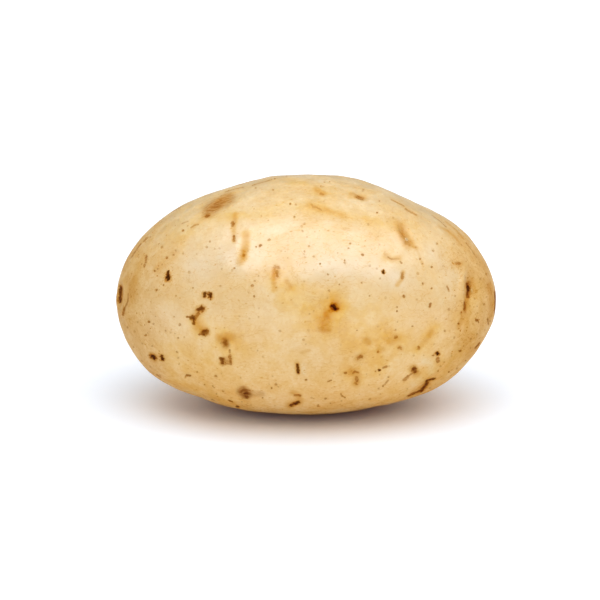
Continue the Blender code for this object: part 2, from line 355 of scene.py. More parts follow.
# Wide golden patches
GOLD = {
    "band on top": (Mark(((232, 216), (262, 213), (290, 206), (318, 207), (346, 215), (392, 226)), 12, 0.3),),
    "top edge": (Mark(((290, 183), (306, 183)), 6, 0.4),),
    "under the main eye": (Mark(((296, 300), (316, 316), (328, 322)), 32, 0.5),),
    "main eye": (Mark(((334, 304), (336, 307)), 20, 1.1), Mark(((327, 314), (325, 328)), 15, 0.7)),
    "left chain": (Mark(((198, 324), (201, 330)), 16, 0.6),),
    "grey eye": (Mark(((222, 338), (232, 342)), 22, 0.55),),
    "right end": (Mark(((474, 290), (464, 318)), 22, 0.42),),
    "stem end": (Mark(((134, 266), (130, 290), (134, 310)), 26, 0.2),),
    "dimple": (Mark(((408, 228), (414, 240)), 14, 0.3),),
    "upper left": (Mark(((180, 236), (206, 222), (228, 214)), 16, 0.18),),
    "middle top": (Mark(((318, 191), (330, 192)), 12, 0.3),),
    "highlight's right": (Mark(((386, 256), (396, 260)), 12, 0.3),),
    "short brow": (Mark(((276, 280), (290, 286)), 20, 0.35), Mark(((274, 270), (274, 290)), 6, 0.45)),
    "long brow": (Mark(((246, 236), (245, 250), (243, 259)), 9, 0.7),),
    "middle right": (Mark(((356, 340), (396, 342)), 30, 0.42),),
    "right of the centre": (Mark(((366, 306), (384, 322)), 34, 0.16),),
    "right of the middle": (Mark(((391, 340), (398, 338)), 14, 0.45),),
    "golden streak": (Mark(((434, 328), (426, 339), (419, 348)), 8, 0.5),),
    "cluster": (Mark(((350, 376), (378, 366)), 20, 0.28),),
    "lower right": (Mark(((436, 330), (418, 352)), 18, 0.3),),
    "lower left": (Mark(((172, 352), (206, 362)), 30, 0.28),),
    "middle of the front": (Mark(((240, 352), (300, 350), (372, 348)), 70, 0.16),),
    "lower right corner": (Mark(((404, 396), (440, 374), (462, 350)), 40, 0.2),),
    "far upper left": (Mark(((160, 236), (190, 212), (226, 194)), 40, 0.12),),
    "lower edge": (Mark(((170, 376), (200, 392), (240, 404), (290, 410), (340, 406), (390, 396)), 14, 0.12),),
    "lower left edge": (Mark(((176, 378), (204, 392), (232, 402)), 24, 0.25),),
    "lower right edge": (Mark(((432, 376), (452, 360), (468, 344)), 28, 0.18),),
}

# Soft brown bruises, with a fibrous grain. Those at the lower corners and in the dimple are painted shade,
# and the one in the low middle is only a faint wide darkening
BRUISES = {
    "upper left patch": (Mark(((208.6, 211), (217, 205), (229, 198)), 15, 0.5),
        Mark(((211, 209), (219, 203)), 9, 0.24)),
    "grey eye": (Mark(((224.6, 341.4), (225.6, 345)), 7, 0.75),),
    "purple": (Mark(((243, 391.6), (245.6, 394)), 10.4, 1.2), Mark(((248, 393), (262, 394)), 7, 0.25)),
    "hook": (Mark(((225, 360), (228, 361)), 6, 0.3),),
    "crease": (Mark(((426, 384), (421, 389)), 6, 0.2),),
    "brow of the lower right": (Mark(((414.2, 369), (415, 371.6)), 7, 0.3),),
    "crown slit": (Mark(((468.4, 283), (468, 293)), 6, 0.3),),
    # Painted shade in the dimple's hollow
    "dimple": (Mark(((401.6, 232), (405.6, 241)), 7, 0.22),),
    "main eye": (Mark(((334, 306.8), (335.6, 308.2)), 6.4, 0.3),),
    "left chain": (Mark(((203.6, 332.6), (205.6, 332.4)), 7, 0.3),),
    "top right": (Mark(((357, 196.8), (362, 198.4)), 5, 0.3),),
    "under the crown slit": (Mark(((464.6, 302), (464.8, 311)), 3.6, 0.2),),
    "tip": (Mark(((495, 292), (495, 312)), 5, 0.5),),
    # Painted shade: faint wide darkenings of the lower corners
    "lower left corner": (Mark(((150, 366), (176, 384), (206, 396)), 30, 0.1),),
    "lower right corner": (Mark(((420, 392), (446, 374), (468, 350)), 30, 0.1),),
    # A faint wide darkening of the low middle
    "low middle": (Mark(((300, 357), (336, 361)), 44, 0.03),),
}

# Pale raised skin, and pale patches that are painted light: two wide ones where the highlight lies, and the
# dimple's lit side
PALE = {
    "crown slit's lip": (Mark(((463.6, 285), (463, 296), (462.6, 306)), 4, 0.25),),
    "bud in the crown slit": (Mark(((470.4, 289.8), (470.8, 290.6)), 4.2, 1.2),),
    "bud ring in the dimple": (Mark(((406.3, 239.3), (406.7, 239.9)), 4.6, 1.3),),
    "brow of the lower right": (Mark(((424, 361), (430, 363), (431, 372)), 9, 0.8),),
    "ridge by the crease": (Mark(((412, 384), (420, 378.6)), 7, 0.6),),
    "lone slit's side": (Mark(((302.6, 365), (303.6, 373)), 7, 0.4),),
    # Painted light on the dimple's lit side
    "painted light, dimple's side": (Mark(((412, 232), (414.6, 240)), 5, 0.4),),
    "fleck in the main eye": (Mark(((336, 307.4), (336.4, 307.6)), 1.6, 0.8),),
    "over the crown slit": (Mark(((430, 250), (440, 262), (452, 276)), 16, 0.3),),
    "lower middle": (Mark(((300, 352), (322, 366)), 24, 0.1),),
    # Painted highlight: wide pale patches where the light's broad reflection lies
    "painted highlight, left": (Mark(((196, 266), (222, 258), (240, 258)), 34, 0.62),),
    "painted highlight, right": (Mark(((312, 272), (350, 266), (396, 276)), 30, 0.6),),
}

# Single pores
PORES = {
    "lower left": ((177, 352.4), (179, 364), (184.2, 337.4), (199, 382.3), (142.5, 343.3), (133.6, 346.9),
        (134.4, 331.4), (149, 321.7), (153.4, 323.6), (216.4, 394), (197, 372), (174.2, 316.8),
        (215.6, 375.8), (178, 358), (204.6, 384.6), (213, 386), (165.6, 331), (170.6, 332.6), (178, 338),
        (138, 322), (127.4, 327.4), (152.4, 346), (146, 335), (141.6, 361), (150, 366.6), (160, 375),
        (212, 399.6), (223, 391), (240.6, 377.6), (179.6, 324.6)),
    "upper left": ((173.4, 255), (183.2, 253.8), (196.8, 254.2), (209.9, 241.5), (234.3, 268.3),
        (232.2, 270.7), (220.5, 286.3), (189.4, 272.4), (156.4, 290), (175.8, 295.9), (166.9, 257.7),
        (175.8, 250.7), (206.8, 247), (214.6, 249), (219.6, 248.6), (162, 247), (154.6, 271), (163.6, 285),
        (193, 288), (175, 225.4), (183, 230.6), (187.6, 226), (162, 264.6)),
    "top left": ((260.3, 245.5), (256.2, 246.9), (261.4, 216), (221, 196), (242.6, 187.4), (274.6, 178.8),
        (296, 204.5), (290.3, 203.8), (294.4, 217), (255.6, 188), (273, 190), (228.6, 190.4), (202, 203.6),
        (254, 209), (248, 251), (269, 240), (258.6, 276), (255, 281), (252.4, 286), (286.6, 176.6)),
    "in the highlight": ((304.2, 223.6), (301.7, 226.6), (302.5, 231), (307, 237), (287.8, 258),
        (303.8, 254.2), (305, 257.4), (281.4, 251), (313.6, 256.8), (350.4, 243.4), (348.4, 248.3),
        (344.7, 260.6), (344.8, 263.4), (369.6, 265.5), (362.6, 254.8), (380, 278.5), (378, 236.3),
        (337.6, 253), (320, 264), (327.6, 274.6), (315, 231.6), (309, 246), (304.6, 251.6), (376.6, 268.6)),
    "top right": ((377.2, 212.7), (379.4, 200.8), (386.9, 221.5), (368.2, 224.4), (363, 191), (345.5, 217),
        (415.8, 247.2), (417.8, 273.7), (431.8, 267.2), (433, 250.6), (454, 244.2), (363.4, 189.6),
        (324.6, 182), (329.6, 181.6), (437, 243.6), (422.4, 263.6), (420, 259), (423, 283.6), (393.4, 217.4),
        (443.6, 222.6)),
    "right end": ((448, 289), (455, 295.8), (483.6, 268.4), (486, 274), (480.4, 279), (477.3, 313),
        (490, 321), (454.3, 337.6), (465.7, 360.7), (485, 330), (460, 350.9), (463.3, 346), (470.6, 347.7),
        (456.8, 368.5), (470, 306), (474.4, 298.6), (484, 304), (486.6, 297), (481, 288), (458.6, 323.6),
        (445, 331), (461, 313), (477, 334), (431.4, 288.6), (449, 372)),
    "middle": ((254.4, 296.4), (329, 291), (327.6, 298), (309.4, 314), (361.4, 282.8), (357, 330.4),
        (403.8, 296.6), (412.4, 326.2), (369.6, 296), (224.5, 327.7), (251.4, 348.1), (385.4, 298),
        (279.8, 331), (257.6, 350.6), (263, 357), (397, 307), (397, 311), (303.6, 340), (308.6, 330.6),
        (417, 299.6), (395.6, 329.6), (449, 309.6), (339.4, 284.6)),
    "lower right": ((382.9, 385.9), (378.8, 388.6), (380.4, 394), (368.8, 385), (407.2, 389.1), (444, 362),
        (430, 388), (369.9, 399.2), (378, 352), (413.6, 355.4), (423.6, 355.4), (388.6, 377), (438, 371),
        (451.6, 356), (375.6, 371.4), (366.6, 374), (440.6, 366.4)),
    "underneath": ((272.5, 376.1), (269.2, 384.2), (275.7, 384.4), (271.6, 388), (341.6, 400.8),
        (330.5, 403.2), (325.6, 398.6), (306, 380), (251, 405), (262.6, 398), (311.6, 398), (318, 405.6),
        (275, 405.6)),
}
SEEN_MARKS = {"scab": SCABS, "stain": STAINS, "gold": GOLD, "bruise": BRUISES, "pale": PALE}
PORE_SEED = 5
PORE_WIDTHS = (1.3, 2.5)
PORE_STRENGTHS = (0.1, 0.55)

# Seeded marks on the sides that the photograph doesn't show: the least and greatest width of each kind, and
# its greatest length. A place is hidden where its normal leans towards the camera by less than HIDDEN_FACING
HIDDEN_SEED = 23
HIDDEN_FACING = 0.05
HIDDEN_COUNTS = {"scab": 44, "stain": 20, "gold": 12, "bruise": 6}
HIDDEN_WIDTHS = {"scab": (0.0004, 0.0013), "stain": (0.0015, 0.004), "gold": (0.004, 0.009)}
HIDDEN_WIDTHS["bruise"] = (0.0018, 0.0035)
HIDDEN_LENGTHS = {"scab": 0.0016, "stain": 0.006, "gold": 0.010, "bruise": 0.005}
HIDDEN_SHORTENING = (0.2, 1.0)  # of the greatest length
HIDDEN_SPREAD = np.array([0.5, 1.0, 1.0])  # of a mark's heading: more across the tuber than along it
HIDDEN_STRENGTHS = (0.3, 0.9)
HIDDEN_PORES = 140

# Marks in the eyes that the photograph doesn't show, whose names begin like this. Lengths are in times the
# eye's half width, but the scab's half width is in metres
HIDDEN_EYES = ("back", "underneath", "crown, back")
BROW_MARK_REACH = 0.8
BROW_MARK_POINTS = 5
BROW_MARK_SETBACK = 0.25
BROW_SCAB_ADVANCE = 0.3
BROW_SCAB_HALF_WIDTH = 0.0004
BROW_HALF_WIDTHS = {"stain": 0.45, "bruise": 0.22, "gold": 1.2}
BROW_STRENGTHS = {"stain": 0.75, "bruise": 0.7, "scab": 0.8, "gold": 0.5}

# Fields of marks
SCAB_LAYERS = 4
FAR_AWAY = 9.0  # the greatest distance to a scab that is kept, in its half widths
DEPTH_SHARE = 0.22  # how much a step away from the camera counts in the distance to a photographed mark
MESH_REACH = 0.0003  # metres, over which a mark's distance is uncertain between the mesh's points
SOFT_POWERS = {"stain": 3, "gold": 2, "bruise": 3, "pale": 2}  # a bell's power: a greater one is flatter

# How much deep tan is laid over the skin towards each end and low down. Each pair is where that starts and
# where it is full, in times the half length and the half height
TAN_ENDS = (0.62, 0.96)
TAN_UNDER = (0.625, 0.0)
ENDS_TAN = 0.9
UNDER_TAN = 0.6

# Heights of full marks. The scab's rim is in half widths
PALE_RISE = 0.00016
BRUISE_DEPTH = 0.00010
SCAB_DEPTH = 0.00014
SCAB_RIM = 0.00004
SCAB_RIM_REACH = 1.6
SCAB_RIM_THICKNESS = 0.5

# Colours as the photograph's eight-bit values: clean skin, raised skin, whose colour also paints a highlight,
# and clean skin under one measure of a pigment
CREAM = (244, 214, 162)
PALE_SKIN_AND_HIGHLIGHT = (243, 228, 204)
TAN = (234, 192, 122)
GOLDEN = (236, 186, 88)
RUST = (216, 164, 88)
BROWN = (160, 110, 56)
DARK = (134, 110, 64)

# Patterns of the skin, in metres. Low and high are the levels of noise between which a mask rises
BLOTCH = {"size": 0.013, "low": 0.36, "high": 0.64}
CLOUD = {"size": 0.0045, "low": 0.38, "high": 0.62}
FIBRE = {"size": 0.0009, "low": 0.36, "high": 0.64}
WAX = {"size": 0.003, "low": 0.3, "high": 0.7}
WRINKLE = {"size": 0.0016, "low": 0.2, "high": 0.8}
LONG_THREADS = {"size": 0.0016, "thickness": 0.02}
NET_THREADS = {"size": 0.0038, "thickness": 0.012}
FRECKLES = {"spacing": 0.0025, "reach": 0.0005, "rarity": 0.1}
FLECKS = {"spacing": 0.0012, "reach": 0.0003, "rarity": 0.1}
FIBRE_STRETCH = 0.45
THREAD_STRETCH = 0.3
FLECK_STRETCH = 0.6
GRAIN_SCALE = 1300.0
SPECK_EDGE_SCALE = 2600.0
SPECK_SHIFT = 0.0005
SPECK_EDGE = -0.2

# A smooth step is written as where it starts, where it ends, and its values there, if they aren't 0 and 1.
# The scab's parts are steps over the distance in half widths
HALO_STEP = (2.2, 0.9)
CRUST_STEP = (1.35, 0.65)
CORE_STEP = (0.95, 0.35)
CORE_BY_STRENGTH = (0.45, 1.0)
CRUST_BY_STRENGTH = (1.1, 0.1)  # times the strength, and more
RAGGED = 2.6
WORN_BY_TAN = (0.0, 0.6, 0.4, 1.2)
BARE_BY_PALE = (0.7, 1.1, 1.0, 0.1)
THREADS_BY_WEAR = (0.4, 1.2, 0.3, 0.75)

# How a pattern of the skin changes a mark or another pattern: its strength where the first is 0 and 1
DEEP_BY_CLOUD = (0.9, 1.3)
GOLD_BY_CLOUD = (0.6, 1.1)
STAIN_BY_FIBRE = (1.15, 1.45)
BRUISE_BY_FIBRE = (0.6, 1.0)
CRUST_BY_FIBRE = (0.6, 1.15)
LINES_BY_BLOTCH = (0.5, 1.0)
COAT_BY_WAX = (1.0, 0.6)

# How much of each pigment the patterns and marks give
TAN_SHARES = {"blotch": 0.45, "cloud": 0.25, "grain": 1.3, "deep": 0.35}
NET_SHARE = 0.22
HALO_SHARE = 1.2
FLECK_SHARE = 1.7
FRECKLE_SHARE = 0.8
DARK_SHARE = 1.1
DEEP_BROWN_SHARE = 0.13
PALE_SHARE = 0.8
PALE_LESS_TAN = -0.6
COVER_SHARES = {"golden": 0.3, "rust": 0.7, "brown": 1.0}

# The skin's gloss and fine bumps. The wax is thinner where the skin is tan, and low down
ROUGHNESS = (0.42, 0.52)
MARKS_ROUGHNESS = 0.4
WAX_BY_TAN = (0.0, 0.9, 1.0, 0.15)
WAX_BY_HEIGHT = (0.016, 0.042, 0.1, 1.0)
WAX_GRAIN = 1.6
BUMPS = {"wrinkle": 0.00002, "wax": 0.00004, "covered": -0.00002, "crust": -0.00010}
SKIN_SETTINGS = {"Specular IOR Level": 0.05, "Coat Roughness": 0.32, "Coat IOR": 2.05}
SKIN_SETTINGS |= {"Subsurface Weight": 0.08, "Subsurface Radius": (1.0, 0.7, 0.4), "Subsurface Scale": 0.002}

# The floor. Its steps are over the distance from the middle of an oval, in metres across the tuber
FLOOR_RADIUS = 8
FLOOR_SIDES = 64
FLOOR_WHITE = (0.975, 0.935, 0.87, 1.0)
# Painted shadow: the cooler, darker tone of the shadow's rim
FLOOR_SHADOW_RIM = (0.875, 0.885, 0.88, 1.0)
# Painted shadow: the brown where the tuber rests
FLOOR_CONTACT_SHADOW = (0.80, 0.46, 0.22, 1.0)
# Painted light: the colour of the floor's glow, which lightens the shadow's outer part
FLOOR_GLOW = (0.62, 0.78, 1.0, 1.0)
OVAL_LENGTH = 1.75
CONTACT_SHADOW_STEP = (0.009, 0.0175, 1.0, 0.0)
SHADOW_RIM_START = (0.020, 0.033)
SHADOW_RIM_END = (0.038, 0.055, 1.0, 0.0)
NEAR_GLOW = (0.004, 0.044, 0.0, 0.33)
FAR_GLOW = (0.06, 0.4, 0.0, 0.5)


def place(along, round_degrees):
    """The unit direction that body() carries to this place on the skin."""
    share = np.clip(along / HALF_LENGTH, -1, 1)
    angle = np.radians(round_degrees)
    ring = np.sqrt(1 - share**2)
    return np.array([[share, -np.cos(angle) * ring, np.sin(angle) * ring]])


def body(directions):
    """Points and outward normals of the plain body for unit directions.

    The length is an ellipse, each ring across it is a superellipse of HALF_DEPTH by HALF_HEIGHT, and the ends
    bend down in a parabola.
    """
    share, ring = directions[:, :1], np.linalg.norm(directions[:, 1:], axis=1, keepdims=True)
    across = directions[:, 1:] / ring.clip(1e-9)
    power_sum = (np.abs(across) ** RING_FULLNESS).sum(axis=1, keepdims=True)
    across = across * ring / power_sum.clip(1e-9) ** (1 / RING_FULLNESS)
    halves = np.array([HALF_LENGTH, HALF_DEPTH, HALF_HEIGHT])
    points = np.hstack([share, across]) * halves
    outward = points / halves**2
    points[:, 2] -= END_DROP * share[:, 0] ** 2
    return points, outward / np.linalg.norm(outward, axis=1, keepdims=True)


def swelling(points):
    """The height of the broad swells and hollows: a bell for each, by the distance from its middle."""
    height = np.zeros(len(points))
    for swell in SWELLS.values():
        middle = body(place(swell.along, swell.round))[0]
        distance = np.linalg.norm(points - middle, axis=1)
        height += swell.rise * np.exp(-((distance / swell.reach) ** 2))
    return height


def waves(points, seed, count, lengths, height):
    """The height of gentle lumps: a sum of sine waves of random direction, length and start."""
    random = np.random.default_rng(seed)
    headings = random.normal(size=(count, 3))
    headings /= np.linalg.norm(headings, axis=1, keepdims=True)
    wave_lengths = random.uniform(*lengths, count)
    starts = random.uniform(0, 2 * np.pi, count)
    phases = points @ (headings * (2 * np.pi / wave_lengths)[:, None]).T + starts
    return height * np.sin(phases).sum(axis=1) / np.sqrt(count / 2)


def eye_frame(eye):
    """An eye's middle, and its axes: towards the crown, sideways along the brow, and outward."""
    middle, outward = (row[0] for row in body(place(eye.along, eye.round)))
    middle = middle + outward * swelling(middle[None])[0]
    crownward = np.array([1.0, 0.0, 0.0]) - outward[0] * outward
    crownward /= np.linalg.norm(crownward)
    sideways = np.cross(outward, crownward)
    turn = np.radians(eye.turn)
    turned = np.cos(turn) * crownward + np.sin(turn) * sideways
    return middle, turned, np.cross(outward, turned), outward


def eye_relief(eye, points, outward):
    """The height of one eye.

    Across the tuber a bell fades the eye out. Along it, the brow is a low ridge whose ends bend towards the
    crown, the pit drops steeply behind the brow and comes up gently, and the bud is a small bump in the pit.
    """
    middle, crownward, sideways, facing = eye_frame(eye)
    offset = points - middle
    across = offset @ sideways / eye.half_width
    behind = offset @ crownward / (PIT_REACH * eye.half_width) - BROW_BEND * across**2 + BROW_SETBACK
    fade = np.exp(-(across**2)) * (outward @ facing > 0)
    inside = behind.clip(0)
    pit = inside * np.exp(1 - inside.clip(0, 20))
    brow = np.exp(-((behind / BROW_THICKNESS) ** 2))
    bud = np.exp(-((across / BUD_HALF_WIDTH) ** 2) - ((behind - BUD_SETBACK) / BUD_HALF_LENGTH) ** 2)
    return eye.depth * fade * (BROW_RISE * brow - pit + BUD_RISE * bud)


def scar_relief(points):
    """The height of the stem's scar: a shallow dish with a low rim."""
    middle = body(place(*SCAR_PLACE))[0]
    reach = np.linalg.norm(points - middle, axis=1) / SCAR_RADIUS
    dish = np.exp(-(reach**4))
    rim = np.exp(-(((reach - RIM_REACH) / RIM_THICKNESS) ** 2))
    return SCAR_RIM * rim - SCAR_DEPTH * dish


def skin(directions):
    """Points and outward normals of the skin for unit directions, about the body's middle."""
    points, outward = body(directions)
    height = swelling(points) + waves(points, LUMP_SEED, LUMP_WAVES, LUMP_LENGTHS, LUMP_HEIGHT)
    points = points + outward * height[:, None]
    relief = scar_relief(points) + sum(eye_relief(eye, points, outward) for eye in EYES.values())
    relief += waves(points, FINE_SEED, FINE_WAVES, FINE_LENGTHS, FINE_HEIGHT)
    return points + outward * relief[:, None], outward


def set_down(points):
    """The points fitted to the frame's box, with their lowest part pressed flat."""
    lowest, highest = points.min(axis=0), points.max(axis=0)
    lowest[2] += FLAT_DEPTH
    placed = frame_box[0] + (points - lowest) / (highest - lowest) * (frame_box[1] - frame_box[0])
    placed[:, 2] = placed[:, 2].clip(frame_box[0, 2])
    return placed


def unit_ball(steps):
    """Directions and square faces of a unit ball: a cube's six sides as grids, bent out to the ball.

    Both parameters of a side run over the tangents of -45 to 45 degrees, which keeps the squares even. The
    sides' shared edges and corners, which agree to six digits, are merged. The directions are then pulled to
    the photograph's camera, where the marks need more points.
    """
    line = np.tan(np.linspace(-np.pi / 4, np.pi / 4, steps + 1))
    first, second = np.meshgrid(line, line, indexing="ij")
    one = np.ones_like(first)
    sides = [(one, first, second), (second, one, first), (first, second, one)]
    sides += [(-one, second, first), (first, -one, second), (second, first, -one)]
    grids = np.stack([np.stack(side, axis=-1) for side in sides])
    directions = (grids / np.linalg.norm(grids, axis=-1, keepdims=True)).reshape(-1, 3)
    number = np.arange(len(directions)).reshape(6, steps + 1, steps + 1)
    corners = [number[:, :-1, :-1], number[:, 1:, :-1], number[:, 1:, 1:], number[:, :-1, 1:]]
    squares = np.stack(corners, axis=-1).reshape(-1, 4)
    rounded = directions.round(6) + 0.0
    _, kept, merged = np.unique(rounded, axis=0, return_index=True, return_inverse=True)
    pulled = directions[kept] + FRONT_PULL * TO_CAMERA
    return pulled / np.linalg.norm(pulled, axis=1, keepdims=True), merged.reshape(-1)[squares]


def photograph_view(points):
    """The camera that gives the tuber's outline its width and place in the photograph."""
    right = np.array([1.0, 0.0, 0.0])
    up = np.cross(TO_CAMERA, right)
    middle = (points.min(axis=0) + points.max(axis=0)) / 2
    offset = points - middle
    depth = CAMERA_DISTANCE - offset @ TO_CAMERA
    aside, above = offset @ right / depth * CAMERA_DISTANCE, offset @ up / depth * CAMERA_DISTANCE
    pixel = np.ptp(aside) / OUTLINE_WIDTH
    shift_right = (aside.min() + aside.max()) / 2 - (OUTLINE_CENTRE[0] - PHOTO_SIZE / 2) * pixel
    shift_up = (above.min() + above.max()) / 2 - (PHOTO_SIZE / 2 - OUTLINE_CENTRE[1]) * pixel
    return View(right, up, TO_CAMERA, middle + right * shift_right + up * shift_up, pixel)


def cast_pixels(pixels, view, surface):
    """The skin's points that the photograph's pixels fall on. One past the outline takes the nearest skin."""
    eye = view.eye()
    cast = []
    for x, y in pixels:
        aimed = view.at(x, y)
        hit = surface.ray_cast(Vector(eye), Vector(aimed - eye))[0]
        cast.append(hit or surface.find_nearest(Vector(aimed))[0])
    return np.array(cast)


def photographed_strokes(view, surface):
    """The marks that the photograph shows, laid on the skin."""
    random = np.random.default_rng(PORE_SEED)
    strokes = []
    for kind, features in SEEN_MARKS.items():
        for mark in sum(features.values(), ()):
            points = view.flatten(cast_pixels(mark.pixels, view, surface))
            strokes.append(Stroke(kind, points, mark.width * view.pixel / 2, mark.strength, True))
    for pixels in PORES.values():
        for point in view.flatten(cast_pixels(pixels, view, surface)):
            strokes.append(pore(point, view.pixel, random, True))
    return strokes


def pore(point, pixel, random, seen):
    """A pore is a small scab. Most are faint."""
    strength = np.interp(random.uniform() ** 2, (0, 1), PORE_STRENGTHS)
    return Stroke("scab", point[None], random.uniform(*PORE_WIDTHS) * pixel / 2, strength, seen)


def hidden_strokes(points, outward, view):
    """Seeded marks of every kind on the sides that the camera of the photograph doesn't see."""
    random = np.random.default_rng(HIDDEN_SEED)
    unseen = np.flatnonzero(outward @ view.back < HIDDEN_FACING)
    strokes = []
    for kind, count in HIDDEN_COUNTS.items():
        for start in points[random.choice(unseen, count)]:
            heading = random.normal(size=3) * HIDDEN_SPREAD
            length = HIDDEN_LENGTHS[kind] * random.uniform(*HIDDEN_SHORTENING)
            path = start + heading / np.linalg.norm(heading) * length * np.array([[0.0], [0.5], [1.0]])
            half_width = random.uniform(*HIDDEN_WIDTHS[kind]) / 2
            strokes.append(Stroke(kind, path, half_width, random.uniform(*HIDDEN_STRENGTHS)))
    for point in points[random.choice(unseen, HIDDEN_PORES)]:
        strokes.append(pore(point, view.pixel, random, False))
    return strokes


def brow_strokes(shift):
    """Marks in the eyes that the photograph doesn't show. Shift leads from the body's middle to the frame.

    They follow a parabola in the pit. The stain and the gold run along all of it, the bruise along its
    middle, and the scab is nearer to the brow.
    """
    strokes = []
    for name, eye in EYES.items():
        if not name.startswith(HIDDEN_EYES):
            continue
        middle, crownward, sideways, _ = eye_frame(eye)
        across = np.linspace(-BROW_MARK_REACH, BROW_MARK_REACH, BROW_MARK_POINTS)[:, None] * eye.half_width
        behind = BROW_MARK_SETBACK * (eye.half_width + across**2 / eye.half_width)
        pit = middle + shift + sideways * across + crownward * behind
        advanced = pit[1:-1] - crownward * BROW_SCAB_ADVANCE * eye.half_width
        half_widths = {kind: share * eye.half_width for kind, share in BROW_HALF_WIDTHS.items()}
        half_widths["scab"] = BROW_SCAB_HALF_WIDTH
        paths = {"stain": pit, "bruise": pit[1:-1], "scab": advanced, "gold": pit}
        strokes += [Stroke(kind, paths[kind], half_widths[kind], BROW_STRENGTHS[kind]) for kind in paths]
    return strokes


def offset_from_stroke(points, stroke):
    """Each point's offset from the nearest place on a stroke, and its length, in half widths."""
    starts, ends = stroke.points[:-1], stroke.points[1:]
    if len(stroke.points) == 1:
        starts = ends = stroke.points
    nearest, shortest = np.zeros_like(points), np.full(len(points), np.inf)
    for start, end in zip(starts, ends):
        run = end - start
        share = ((points - start) @ run / max(run @ run, 1e-12)).clip(0, 1)
        offset = points - start - share[:, None] * run
        length = np.linalg.norm(offset, axis=1)
        closer = length < shortest
        nearest[closer], shortest[closer] = offset[closer], length[closer]
    return nearest / stroke.half_width, shortest / stroke.half_width


def smooth_step(values, low, high):
    """0 at low and 1 at high, with a smooth start and end."""
    share = ((values - low) / (high - low)).clip(0, 1)
    return share**2 * (3 - 2 * share)


def deep_tan(points):
    """How much deep tan is laid over the cream: a smooth step to each end, and one underneath."""
    ends = smooth_step(np.abs(points[:, 0]) / HALF_LENGTH, *TAN_ENDS)
    under = smooth_step(points[:, 2] / HALF_HEIGHT, *TAN_UNDER)
    return (ENDS_TAN * ends + UNDER_TAN * under).clip(0, 1)


def in_layers(scabs):
    """The scabs shared out so that those of one layer lie far apart."""
    layers = [[] for _ in range(SCAB_LAYERS)]
    for scab in scabs:
        gaps = []
        for layer in layers:
            apart = [np.linalg.norm(scab.points[:, None] - other.points, axis=2).min() for other in layer]
            gaps.append(min(apart, default=np.inf))
        layers[int(np.argmax(gaps))].append(scab)
    return layers


def soft_fields(points, strokes, spaces):
    """For each soft kind of mark, a sum of bells over the distance from its strokes."""
    fields = {kind: np.zeros(len(points)) for kind in SOFT_POWERS}
    for stroke in strokes:
        if stroke.kind in fields:
            length = offset_from_stroke(spaces[stroke.seen], stroke)[1]
            fields[stroke.kind] += stroke.strength * np.exp(-(length ** SOFT_POWERS[stroke.kind]))
    return fields


def scab_fields(points, scabs, name, spaces):
    """For one layer of scabs, the offset from the nearest in half widths, its strength and least distance.

    The offset changes evenly from point to point, so the material can cut even a pore sharply. Halfway
    between two scabs it turns round, so the least that the distance can be there is kept beside it.
    """
    offsets = np.full((len(points), 3), FAR_AWAY)
    shortest, least = np.full((2, len(points)), FAR_AWAY)
    strength = np.zeros(len(points))
    for scab in scabs:
        offset, length = offset_from_stroke(spaces[scab.seen], scab)
        closer = length < shortest
        shortest[closer], offsets[closer] = length[closer], offset[closer]
        least[closer] = length[closer] - MESH_REACH / scab.half_width
        strength[closer] = scab.strength
    return {name: offsets, name + "_least": least, name + "_strength": strength}


def mark_fields(points, strokes, view):
    """The fields of the mesh that hold its marks."""
    spaces = {True: view.flatten(points), False: points}
    fields = {"deep": deep_tan(points)} | soft_fields(points, strokes, spaces)
    layers = in_layers([stroke for stroke in strokes if stroke.kind == "scab"])
    for number, layer in enumerate(layers):
        fields |= scab_fields(points, layer, f"scab_{number}", spaces)
    return fields


def mark_relief(fields):
    """The height of the marks: scabs are sunk inside a low rim, bruises sink and pale skin stands up."""
    height = PALE_RISE * fields["pale"] - BRUISE_DEPTH * fields["bruise"]
    for number in range(SCAB_LAYERS):
        away = np.linalg.norm(fields[f"scab_{number}"], axis=1)
        rim = np.exp(-(((away - SCAB_RIM_REACH) / SCAB_RIM_THICKNESS) ** 2))
        height += (SCAB_RIM * rim - SCAB_DEPTH * np.exp(-(away**2))) * fields[f"scab_{number}_strength"]
    return height


def make_mesh(name, points, squares, fields):
    """A smooth mesh of squares, with each field, of numbers or of vectors, as an attribute of its points."""
    mesh = bpy.data.meshes.new(name)
    mesh.vertices.add(len(points))
    mesh.vertices.foreach_set("co", points.astype(np.float32).ravel())
    mesh.loops.add(squares.size)
    mesh.loops.foreach_set("vertex_index", squares.astype(np.int32).ravel())
    mesh.polygons.add(len(squares))
    mesh.polygons.foreach_set("loop_start", np.arange(0, squares.size, 4, dtype=np.int32))
    mesh.update(calc_edges=True)
    for field, values in fields.items():
        kind, item = ("FLOAT", "value") if values.ndim == 1 else ("FLOAT_VECTOR", "vector")
        mesh.attributes.new(field, kind, "POINT").data.foreach_set(item, values.astype(np.float32).ravel())
    mesh.shade_smooth()
    return mesh


def tint(red, green, blue):
    """A colour socket's value for an eight-bit colour of a picture."""
    share = np.array([red, green, blue]) / 255
    linear = np.where(share <= 0.04045, share / 12.92, ((share + 0.055) / 1.055) ** 2.4)
    return (*linear, 1.0)


